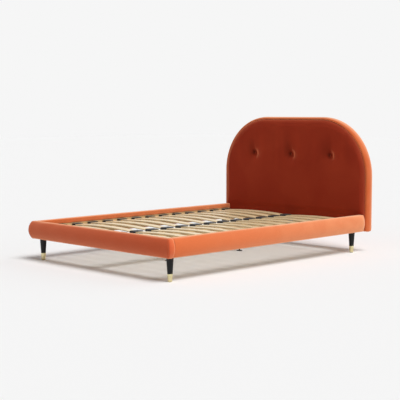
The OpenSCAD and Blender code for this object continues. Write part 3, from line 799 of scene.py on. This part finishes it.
def archGrid(columns, rows, inset):
    # Grid over the arch: the grid's top corners go to the middle of each round corner
    bm = bmesh.new()
    bmesh.ops.create_grid(bm, x_segments=columns, y_segments=rows, size=0.5)
    side, turn, total = archSizes(inset)[2:]
    cornerShare = (side + turn / 2) / total
    half = borderHigh.x - inset
    lowLeft = Vector((-half, borderLow.z + inset))
    lowRight = Vector((half, borderLow.z + inset))
    topLeft = Vector(archPoint(cornerShare, inset))
    topRight = Vector(archPoint(1 - cornerShare, inset))
    for v in bm.verts:
        s = v.co.x + 0.5
        t = v.co.y + 0.5
        left = Vector(archPoint(cornerShare * t, inset))
        right = Vector(archPoint(1 - cornerShare * t, inset))
        low = lowLeft.lerp(lowRight, s)
        top = Vector(archPoint(cornerShare + (1 - 2 * cornerShare) * s, inset))
        spot = left * (1 - s) + right * s + low * (1 - t) + top * t
        spot -= lowLeft * (1 - s) * (1 - t) + lowRight * s * (1 - t)
        spot -= topLeft * (1 - s) * t + topRight * s * t
        v.co = (spot.x, 0, spot.y)
    inner = [v for v in bm.verts if not v.is_boundary]
    for _ in range(12):
        bmesh.ops.smooth_vert(bm, verts=inner, factor=0.5, use_axis_x=True, use_axis_z=True)
    return bm


# Painted shade and highlight round the buttons, dark above and beside them and pale on their other side:
# how much, then the spot's middle and width sideways, then its middle and height upwards
paintedButtonSpots = ((-0.40, -0.040, 0.042, 0.034, 0.080), (-0.70, -0.016, 0.015, 0.006, 0.022),
             (0.50, 0.022, 0.008, -0.001, 0.013), (0.16, 0.060, 0.050, 0.030, 0.110))

paintedStreaks = {"wide": 0.055, "tall": 0.40, "share": 0.10, "above": 0.06, "reach": 0.14}


def paintedButtonShade(x, z):
    # Painted light and shade on the pad: 0.5 where none is painted, with darker and paler spots round the
    # buttons and faint painted streaks at their height
    shape = headboardShape
    paintedShade = 0
    up = z - shape["buttonHeight"]
    for k in (-1, 0, 1):
        for share, aside, wide, above, tall in paintedButtonSpots:
            paintedShade += share * fading(x - k * shape["buttonGap"] - aside, wide) * fading(up - above, tall)
    streak = noise.noise(Vector((x / paintedStreaks["wide"], z / paintedStreaks["tall"], 2.0)))
    return 0.5 + 0.5 * paintedShade + paintedStreaks["share"] * streak * fading(up - paintedStreaks["above"], paintedStreaks["reach"])


padCloth = dict(railCloth, stiff=12, bend=0.4, spare=0.004, cap=0.0022, evened=10)


def makePad():
    shape = headboardShape
    bm = archGrid(shape["columns"], shape["rows"], shape["seam"])
    for v in bm.verts:
        v.co.y = padLow.y + shape["front"] + padDepth(v.co.x, v.co.z)
    bm.normal_update()
    faceAlong(bm, -1)
    obj = meshObject("headboard_pad_velvet", bm, velvetAgainstNap)

    def held(spot):
        up = spot.z - shape["buttonHeight"]
        return edgeGap(spot.x, spot.z, shape["seam"]) < shape["pinnedRim"] or any(
            math.hypot(spot.x - k * shape["buttonGap"], up) < shape["pinnedButton"] for k in (-1, 0, 1))

    settle(obj, held, padCloth)
    bm = bmesh.new()
    bm.from_mesh(obj.data)
    for v in bm.verts:
        # Behind the rails' ends the pad is pressed flat
        free = clamped((v.co.z - shape["pressedTo"]) / shape["pressedBlend"])
        v.co.y = max(v.co.y, padLow.y - shape["proudest"] * free)
    rim = [e for e in bm.edges if e.is_boundary]
    for depth in shape["rimSteps"]:
        rim = only(bmesh.ops.extrude_edge_only(bm, edges=rim)["geom"], bmesh.types.BMEdge)
        for v in {v for e in rim for v in e.verts}:
            v.co.y += depth
    bmesh.ops.recalc_face_normals(bm, faces=bm.faces)
    faceAlong(bm, -1)
    for face in bm.faces:
        face.smooth = True
    bm.to_mesh(obj.data)
    bm.free()
    brushed = obj.data.attributes.new(napLook["brushed"], "FLOAT", "POINT")
    for number, v in enumerate(obj.data.vertices):
        brushed.data[number].value = paintedButtonShade(v.co.x, v.co.z)

    def paintedRimSheen(spot):
        # Painted highlight: paler over the rolled edge, and most of all in the seam
        gap = edgeGap(spot.x, spot.z, shape["seam"])
        return (shape["paintedRollSheen"] * fading(gap, shape["paintedRollSheenWidth"])
                + shape["paintedSeamSheen"] * fading(gap, shape["paintedSeamSheenWidth"]))

    markPaintedEdgeSheen(obj, paintedRimSheen)
    addSmoothing(obj)
    addPiece(obj, "headboard_pad")


def makeBorder():
    shape = headboardShape
    front = borderLow.y
    # Section across the band: outwards, then from the front seam over its crown to the rounded back rim
    seam = shape["seam"]
    section = [(-seam, front + 0.0140), (-seam, front + 0.0066), (-seam + 0.0010, front + 0.0036),
               (-seam + 0.0032, front + 0.0024), (-0.0082, front + 0.0030), (-0.0050, front + 0.0050),
               (-0.0020, front + 0.0084), (0.0008, front + 0.0136), (0.0030, front + 0.0208),
               (0.0045, front + 0.0300), (0.0052, front + 0.0410), (0.0048, front + 0.0530),
               (0.0030, front + 0.0654), (-0.0004, front + 0.0738), (-0.0056, front + 0.0786),
               (-0.0108, front + 0.0788), (-0.0135, front + 0.0760), (-0.0135, front + 0.0700)]
    bm = bmesh.new()
    arcX, arcZ = archSizes(0)[:2]
    corner = shape["bandCorner"]
    verts = [bm.verts.new((0, y, borderLow.z - out)) for out, y in section]
    edges = [bm.edges.new((verts[i], verts[(i + 1) % len(verts)])) for i in range(len(verts))]
    last = verts + edges

    def along(geom, move, count):
        for _ in range(count):
            edges = only(geom, bmesh.types.BMEdge)
            geom = bmesh.ops.extrude_edge_only(bm, edges=edges)["geom"]
            bmesh.ops.translate(bm, vec=Vector(move) / count, verts=only(geom, bmesh.types.BMVert))
        return geom

    def around(geom, centre, angle, count):
        # Only the last ring of the band goes round, not the faces behind it
        ring = only(geom, bmesh.types.BMEdge, bmesh.types.BMVert)
        out = bmesh.ops.spin(bm, geom=ring, cent=centre, axis=(0, 1, 0), angle=angle, steps=count,
                             use_merge=False, use_duplicate=False)
        return only(out["geom_last"], bmesh.types.BMEdge, bmesh.types.BMVert)

    last = along(last, (borderHigh.x - corner, 0, 0), 40)
    last = around(last, (borderHigh.x - corner, 0, borderLow.z + corner), -math.pi / 2, 6)
    last = along(last, (0, 0, arcZ - borderLow.z - corner), 24)
    last = around(last, (arcX, 0, arcZ), -math.pi / 2, 48)
    last = along(last, (-arcX, 0, 0), 18)
    mirrorOver(bm, 0.0001)
    joinUp(bm, 0.0001)
    obj = meshObject("headboard_border_velvet", bm, velvetBand)
    # Painted highlight: paler along the band's front seam
    markPaintedEdgeSheen(obj, lambda spot: shape["paintedBandSheen"] * fading(
        edgeGap(spot.x, spot.z, seam), shape["paintedBandSheenWidth"]) if spot.y < front + 0.02 else 0)
    addSmoothing(obj)
    addPiece(obj, "headboard_border")


makePad()
makeBorder()
print("headboard covered")


def lathe(bm, profile, place, steps=48):
    # Turn a profile of radius and height round an upright line, and give its new corners
    known = set(bm.verts)
    start = [bm.verts.new((r, 0, z)) for r, z in profile]
    line = [bm.edges.new(pair) for pair in zip(start, start[1:])]
    bmesh.ops.spin(bm, geom=start + line, cent=(0, 0, 0), axis=(0, 0, 1), angle=2 * math.pi,
                   steps=steps, use_merge=True, use_duplicate=False)
    fresh = [v for v in bm.verts if v not in known]
    bmesh.ops.translate(bm, vec=place, verts=fresh)
    return fresh


def addTurned(name, profile, place, material, node):
    bm = bmesh.new()
    lathe(bm, profile, place)
    joinUp(bm)
    addPiece(meshObject(name, bm, material), node)


def addCreased(name, bm, material, angle, node, body="frame"):
    # Edges sharper than this angle stay crisp in the shading
    obj = meshObject(name, bm, material)
    obj.data.set_sharp_from_angle(angle=math.radians(angle))
    addPiece(obj, node, body)


legShape = {
    "topRadius": 0.0246,
    "endRadius": 0.0138,
    "height": 0.160,
    "ferruleTop": 0.052,
    "ferruleProud": 0.0006,
    "glide": 0.002,
}


def legRadius(z):
    shape = legShape
    return shape["endRadius"] + (shape["topRadius"] - shape["endRadius"]) * z / shape["height"]


def makeLegs():
    shape = legShape
    for end in ("foot", "head"):
        for side in ("left", "right"):
            corner = "%s_%s" % (end, side)
            low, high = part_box("leg_" + corner)
            middle = (low + high) / 2
            place = (middle.x, middle.y, 0)
            top = shape["height"]
            lip = shape["ferruleTop"]
            wood = [(0, lip - 0.004), (legRadius(lip) - 0.0006, lip - 0.004), (legRadius(lip), lip + 0.0004)]
            wood += [(legRadius(lip + (top - lip) * k / 8), lip + (top - 0.002 - lip) * k / 8)
                     for k in range(1, 9)]
            wood += [(legRadius(top) - 0.0006, top - 0.0006), (legRadius(top) - 0.002, top), (0, top)]
            addTurned("turned_leg_" + corner, wood, place, blackLacquer, "leg_" + corner)
            proud = shape["ferruleProud"]
            low = shape["glide"]
            brass = [(0, low), (legRadius(low) + proud - 0.0016, low),
                     (legRadius(low) + proud - 0.0005, low + 0.0005), (legRadius(low) + proud, low + 0.0016),
                     (legRadius(lip * 0.3) + proud, lip * 0.3), (legRadius(lip * 0.6) + proud, lip * 0.6),
                     (legRadius(lip) + proud, lip - 0.0008), (legRadius(lip) + proud - 0.0003, lip - 0.0002),
                     (legRadius(lip), lip), (0, lip - 0.002)]
            addTurned("brass_ferrule_" + corner, brass, place, brushedBrass, "ferrule_" + corner)


makeLegs()

slatShape = {
    "inner": 0.006,
    "outer": 0.684,
    "camber": 0.014,
    "thick": 0.008,
    "seat": 0.232,
    "edge": 0.0022,
    "cuts": 30,
    "faceLayer": 0.085,
}


def makeSlats():
    shape = slatShape
    half = (shape["outer"] - shape["inner"]) / 2
    middle = (shape["outer"] + shape["inner"]) / 2
    radius = (half * half + shape["camber"] ** 2) / (2 * shape["camber"])
    reach = math.asin(half / radius)
    for name in sorted(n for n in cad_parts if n.startswith("slats_")):
        low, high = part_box(name)
        y = (low.y + high.y) / 2
        bm = bmesh.new()
        corner = Vector((half, (high.y - low.y) / 2, shape["thick"] / 2))
        addBox(bm, -corner, corner)
        long = [e for e in bm.edges if abs(e.verts[0].co.x - e.verts[1].co.x) > half]
        easeEdges(bm, long, shape["edge"], 3)
        for k in range(1, shape["cuts"]):
            cutAcross(bm, 0, -half + 2 * half * k / shape["cuts"])
        layers = bm.loops.layers.uv.new("layers")
        for face in bm.faces:
            flat = abs(face.normal.z) > 0.9
            for loop in face.loops:
                rise = shape["thick"] * shape["faceLayer"] if flat else loop.vert.co.z + shape["thick"] / 2
                loop[layers].uv = (loop.vert.co.x, rise)
        for v in bm.verts:
            angle = v.co.x / half * reach
            out = radius + v.co.z + shape["thick"] / 2
            v.co = (middle + out * math.sin(angle), y + v.co.y,
                    shape["seat"] + shape["camber"] - radius + out * math.cos(angle))
        mirrorOver(bm, 0)
        bmesh.ops.recalc_face_normals(bm, faces=bm.faces)
        addCreased(name + "_bent", bm, birch, 50, name)


makeSlats()
print("legs and slats made")


def solids(node):
    # Low and high corners of each separate solid in one of the frame's nodes
    bm = bmesh.new()
    bm.from_mesh(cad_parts[node].data)
    bmesh.ops.remove_doubles(bm, verts=bm.verts, dist=2e-6)
    waiting = set(bm.verts)
    found = []
    while waiting:
        stack = [waiting.pop()]
        points = []
        while stack:
            v = stack.pop()
            points.append(v.co.copy())
            for e in v.link_edges:
                other = e.other_vert(v)
                if other in waiting:
                    waiting.remove(other)
                    stack.append(other)
        found.append((Vector([min(p[i] for p in points) for i in range(3)]),
                      Vector([max(p[i] for p in points) for i in range(3)]), points))
    bm.free()
    return sorted(found, key=lambda solid: tuple(round(c, 4) for c in solid[0]))


def easedBox(bm, low, high, width):
    made = addBox(bm, low, high)
    easeEdges(bm, {e for v in made for e in v.link_edges}, width)


def planedTimber(node, material, width):
    bm = bmesh.new()
    for low, high, _ in solids(node):
        easedBox(bm, low, high, width)
    addCreased(node + "_planed", bm, material, 50, node)


for node, material, width in (("head_rail", pineAlongX, 0.002), ("centre_rail", pineAlongY, 0.002),
                              ("slat_ledge_left", pineAlongY, 0.0015),
                              ("slat_ledge_right", pineAlongY, 0.0015),
                              ("corner_blocks", pineAlongZ, 0.0025)):
    planedTimber(node, material, width)

holderShape = {
    "edge": 0.0028,
    "lip": 0.0008,
    "peg": 0.012,
    "pegRadius": 0.004,
    "mouthSide": 0.0047,
    "mouthLow": 0.0080,
    "mouthHigh": 0.0054,
    "sideGrip": 0.0300,
    "middleGrip": 0.0240,
    "drop": 0.0022,
}


def addHolder(bm, low, high, mouths, grip):
    # Moulded cap: a soft-edged block with a pocket for the slat's end, and a peg below it
    shape = holderShape
    made = addBox(bm, (low.x, low.y, low.z + shape["peg"]), high)
    rounds = {e for v in made for e in v.link_edges}
    lips = []
    for way in mouths:
        face = [f for f in {f for v in made for f in v.link_faces} if f.normal.x * way > 0.9][0]
        bmesh.ops.inset_region(bm, faces=[face], thickness=0.001, use_even_offset=True)
        wide = list(face.verts)
        middle = face.calc_center_median()
        for v in wide:
            v.co.y = low.y + shape["mouthSide"] if v.co.y < middle.y else high.y - shape["mouthSide"]
            lower = low.z + shape["peg"] + shape["mouthLow"]
            v.co.z = lower if v.co.z < middle.z else high.z - shape["mouthHigh"]
        deep = bmesh.ops.extrude_discrete_faces(bm, faces=[face])["faces"][0]
        bmesh.ops.translate(bm, vec=(-way * grip, 0, -shape["drop"]), verts=deep.verts)
        lips += [e for v in wide for e in v.link_edges if e.is_valid and all(
            abs(w.co.x - (high.x if way > 0 else low.x)) < 1e-6 for w in e.verts) and all(
            w in wide for w in e.verts)]
    easeEdges(bm, {e for e in lips if e.is_valid}, shape["lip"])
    easeEdges(bm, {e for e in rounds if e.is_valid}, shape["edge"], 3)
    peg = bmesh.ops.create_cone(bm, cap_ends=True, segments=16, radius1=shape["pegRadius"] * 0.8,
                                radius2=shape["pegRadius"], depth=shape["peg"])["verts"]
    middle = (low + high) / 2
    bmesh.ops.translate(bm, vec=(middle.x, middle.y, low.z + shape["peg"] / 2), verts=peg)


def makeHolders():
    for node, mouths, grip in (("slat_holders_side", None, holderShape["sideGrip"]),
                               ("slat_holders_centre", (-1, 1), holderShape["middleGrip"])):
        bm = bmesh.new()
        for low, high, _ in solids(node):
            addHolder(bm, low, high, mouths or ((-1,) if low.x > 0 else (1,)), grip)
        bm.normal_update()
        addCreased(node + "_moulded", bm, blackNylon, 45, node)


makeHolders()

fastenerShape = {"socketDepth": 0.0022, "rings": 32}


def addFastener(bm, seat, towards, length, shank, head, tall, socket):
    # Turned head with a hexagon socket, and its plain shank
    deep = tall - fastenerShape["socketDepth"] * min(1, tall / 0.004)
    profile = [(0, deep), (socket, deep), (socket, tall - 0.0002), (socket + 0.0003, tall),
               (head - 0.0012, tall), (head - 0.0003, tall - 0.0004), (head, tall - 0.0013), (head, 0),
               (shank, 0), (shank, -length), (0, -length)]
    fresh = lathe(bm, profile, (0, 0, 0), fastenerShape["rings"])
    for v in fresh:
        if abs(math.hypot(v.co.x, v.co.y) - socket) < 1e-6:
            turn = math.atan2(v.co.y, v.co.x) % (math.pi / 3) - math.pi / 6
            share = math.cos(math.pi / 6) / math.cos(turn)
            v.co.x *= share
            v.co.y *= share
    spin = Vector((0, 0, 1)).rotation_difference(Vector(towards)).to_matrix()
    bmesh.ops.rotate(bm, cent=(0, 0, 0), matrix=spin, verts=fresh)
    bmesh.ops.translate(bm, vec=seat, verts=fresh)


def fastenersOf(node, shank, head, tall, socket):
    bm = bmesh.new()
    for low, high, points in solids(node):
        size = high - low
        axis = max(range(3), key=lambda i: size[i])
        middle = (low + high) / 2

        def reach(end):
            near = [p - middle for p in points if abs(p[axis] - end) < 0.0005]
            return max(Vector([p[i] for i in range(3) if i != axis]).length for p in near)

        way = 1 if reach(high[axis]) > reach(low[axis]) else -1
        seat = middle.copy()
        seat[axis] = high[axis] - tall if way > 0 else low[axis] + tall
        towards = Vector((0, 0, 0))
        towards[axis] = way
        addFastener(bm, seat, towards, size[axis] - tall, shank, head, tall, socket)
    joinUp(bm)
    addCreased(node + "_socket", bm, zincSteel, 40, node)


# Radius of the shank and of the head, height of the head, and half the width over the socket's corners
fastenersOf("corner_bolts", 0.004, 0.007, 0.005, 0.0029)
fastenersOf("headboard_bolts", 0.004, 0.007, 0.005, 0.0029)
fastenersOf("timber_screws", 0.0025, 0.0045, 0.003, 0.0017)

hangerShape = {"steel": 0.003, "edge": 0.0009, "halfRail": 0.0225}


def makeHangers():
    # Each hanger is folded from one plate: wings, two cheeks and the floor that the rail sits on
    shape = hangerShape
    bm = bmesh.new()
    steel = shape["steel"]
    rail = shape["halfRail"]
    for low, high, _ in solids("centre_rail_hangers"):
        plate = low.y if low.y < 0 else high.y - steel
        reach = (low.y + steel, high.y) if low.y < 0 else (low.y, high.y - steel)
        for first, last in (((low.x, plate, low.z), (high.x, plate + steel, high.z)),
                            ((-rail - steel, reach[0], low.z), (-rail, reach[1], high.z)),
                            ((rail, reach[0], low.z), (rail + steel, reach[1], high.z)),
                            ((-rail - steel, reach[0], low.z), (rail + steel, reach[1], low.z + steel))):
            easedBox(bm, first, last, shape["edge"])
    addCreased("centre_rail_hangers_pressed", bm, zincSteel, 40, "centre_rail_hangers")


makeHangers()

postShape = {
    "radius": 0.021,
    "round": 0.0015,
    "bore": 0.00505,
    "boreTop": 0.075,
    "padRadius": 0.0225,
    "padHigh": 0.007,
    "thread": 0.005,
    "root": 0.0043,
    "pitch": 0.0015,
    "threadTop": 0.060,
}


def makeCentreLegs():
    shape = postShape
    for end, y in (("foot_end", -0.380), ("head_end", 0.380)):
        low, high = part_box("centre_leg_" + end)
        r, soft, bore = shape["radius"], shape["round"], shape["bore"]
        wood = [(0, shape["boreTop"]), (bore, shape["boreTop"]), (bore, low.z + 0.0006),
                (bore + 0.0006, low.z), (r - soft, low.z), (r - soft * 0.3, low.z + soft * 0.3),
                (r, low.z + soft), (r, high.z - soft), (r - soft * 0.3, high.z - soft * 0.3),
                (r - soft, high.z), (0, high.z)]
        addTurned("centre_leg_%s_turned" % end, wood, (0, y, 0), blackLacquer,
                  "centre_leg_" + end)
        pad, tall, root = shape["padRadius"], shape["padHigh"], shape["root"]
        foot = [(0, 0), (pad - 0.0012, 0), (pad - 0.0003, 0.0004), (pad, 0.0014), (pad, 0.0036),
                (pad - 0.0008, 0.0044), (0.0125, tall - 0.0008), (0.0115, tall), (0, tall)]
        bm = bmesh.new()
        lathe(bm, foot, (0, y, 0))
        lathe(bm, [(0, tall), (root, tall), (root, shape["threadTop"] - 0.0006),
                   (root - 0.0008, shape["threadTop"]), (0, shape["threadTop"])], (0, y, 0), 24)
        joinUp(bm)
        # The thread climbs the stem as one ridge
        turns = int((shape["threadTop"] - tall - 0.002) / shape["pitch"])
        base = tall + 0.0008
        known = set(bm.verts)
        flank = [(root - 0.0003, base), (shape["thread"], base + shape["pitch"] / 2),
                 (root - 0.0003, base + shape["pitch"])]
        ridge = [bm.verts.new((out, 0, z)) for out, z in flank]
        line = [bm.edges.new((ridge[0], ridge[1])), bm.edges.new((ridge[1], ridge[2]))]
        steps = turns * 20
        bmesh.ops.spin(bm, geom=ridge + line, cent=(0, 0, 0), axis=(0, 0, 1), angle=2 * math.pi * turns,
                       dvec=(0, 0, shape["pitch"] * turns / steps), steps=steps, use_merge=False,
                       use_duplicate=False)
        fresh = {v for v in bm.verts if v not in known}
        bmesh.ops.translate(bm, vec=(0, y, 0), verts=list(fresh))
        threadFaces = [f for f in bm.faces if all(v in fresh for v in f.verts)]
        for f in threadFaces:
            f.normal_update()
        outward = sum(f.normal.dot(f.calc_center_median() - Vector((0, y, f.calc_center_median().z)))
                      for f in threadFaces)
        if outward < 0:
            bmesh.ops.reverse_faces(bm, faces=threadFaces)
        addCreased("levelling_foot_%s_moulded" % end, bm, blackNylon, 40, "levelling_foot_" + end,
                   "leveller_" + end)


makeCentreLegs()

plainNodes = {
    "foot_rail": pineAlongX, "side_rail_left": pineAlongY, "side_rail_right": pineAlongY,
    "headboard_base_rail": pineAlongX, "headboard_top_rail": pineAlongX,
    "headboard_post_left": pineAlongZ, "headboard_post_right": pineAlongZ,
    "headboard_corner_left": pineAlongX, "headboard_corner_right": pineAlongX,
    "headboard_studs": pineAlongZ, "headboard_front_panel": plainBirch, "headboard_back_panel": hardboard,
    "glides": blackNylon, "leg_bolts": zincSteel, "button_ties": blackNylon,
}
for node, material in plainNodes.items():
    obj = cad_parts[node]
    obj.data.materials.clear()
    obj.data.materials.append(material)
print("timbers and fittings finished")

buttonShape = {
    "radius": 0.014,
    "rim": 0.002,
    "dome": 0.007,
    "seat": 1.020,
    "pleats": 14,
    "pleatDepth": 0.0005,
    "pleatFrom": 0.75,
}


def makeButtons():
    shape = buttonShape
    sphere = (shape["radius"] ** 2 + shape["dome"] ** 2) / (2 * shape["dome"])
    profile = [(0, 0.0005), (shape["radius"] - 0.002, 0.0005), (shape["radius"] - 0.0004, 0.0012)]
    reach = math.asin(shape["radius"] / sphere)
    for step in range(9, -1, -1):
        angle = reach * step / 9
        fall = sphere * (1 - math.cos(angle))
        profile.append((sphere * math.sin(angle), shape["rim"] + shape["dome"] - fall))
    for k in (-1, 0, 1):
        bm = bmesh.new()
        lathe(bm, profile, (0, 0, 0), 56)
        bmesh.ops.remove_doubles(bm, verts=bm.verts, dist=1e-6)
        for v in bm.verts:
            out = math.hypot(v.co.x, v.co.y) / shape["radius"]
            angle = math.atan2(v.co.y, v.co.x)
            outer = max(0, out - shape["pleatFrom"]) / (1 - shape["pleatFrom"])
            v.co.z -= shape["pleatDepth"] * outer * abs(math.cos(shape["pleats"] * angle))
        bmesh.ops.recalc_face_normals(bm, faces=bm.faces)
        bmesh.ops.rotate(bm, cent=(0, 0, 0), matrix=Matrix.Rotation(math.pi / 2, 3, "X"), verts=bm.verts)
        bmesh.ops.translate(bm, verts=bm.verts, vec=(
            k * headboardShape["buttonGap"], shape["seat"], headboardShape["buttonHeight"]))
        obj = meshObject("covered_button_%d" % (k + 2), bm, velvetButton)
        addSmoothing(obj)
        addPiece(obj, "headboard_buttons")


backShape = {
    "inset": 0.0145,
    "columns": 90,
    "rows": 60,
    "tuck": 0.0016,
    "tuckWidth": 0.010,
    "ripple": 0.0007,
    "rippleSize": 0.16,
    "rippleFrom": 0.08,
    "cloth": 0.0012,
}


def makeBackCover():
    # Velvet pulled flat over the back, its edge tucked inside the rolled rim
    shape = backShape
    inset = shape["inset"]
    bm = archGrid(shape["columns"], shape["rows"], inset)
    for v in bm.verts:
        gap = max(0, edgeGap(v.co.x, v.co.z, inset))
        tuck = shape["tuck"] * max(0, 1 - gap / shape["tuckWidth"]) ** 2
        wave = ripple((v.co.x, v.co.z, 5.3), shape["rippleSize"], shape["ripple"])
        v.co.y = backHigh.y - tuck + wave * min(1, gap / shape["rippleFrom"])
    bm.normal_update()
    faceAlong(bm, 1)
    obj = meshObject("headboard_back_velvet", bm, velvet)
    addWall(obj, shape["cloth"])
    addPiece(obj, "headboard_back_cover")


makeButtons()
makeBackCover()
print("buttons and back made")
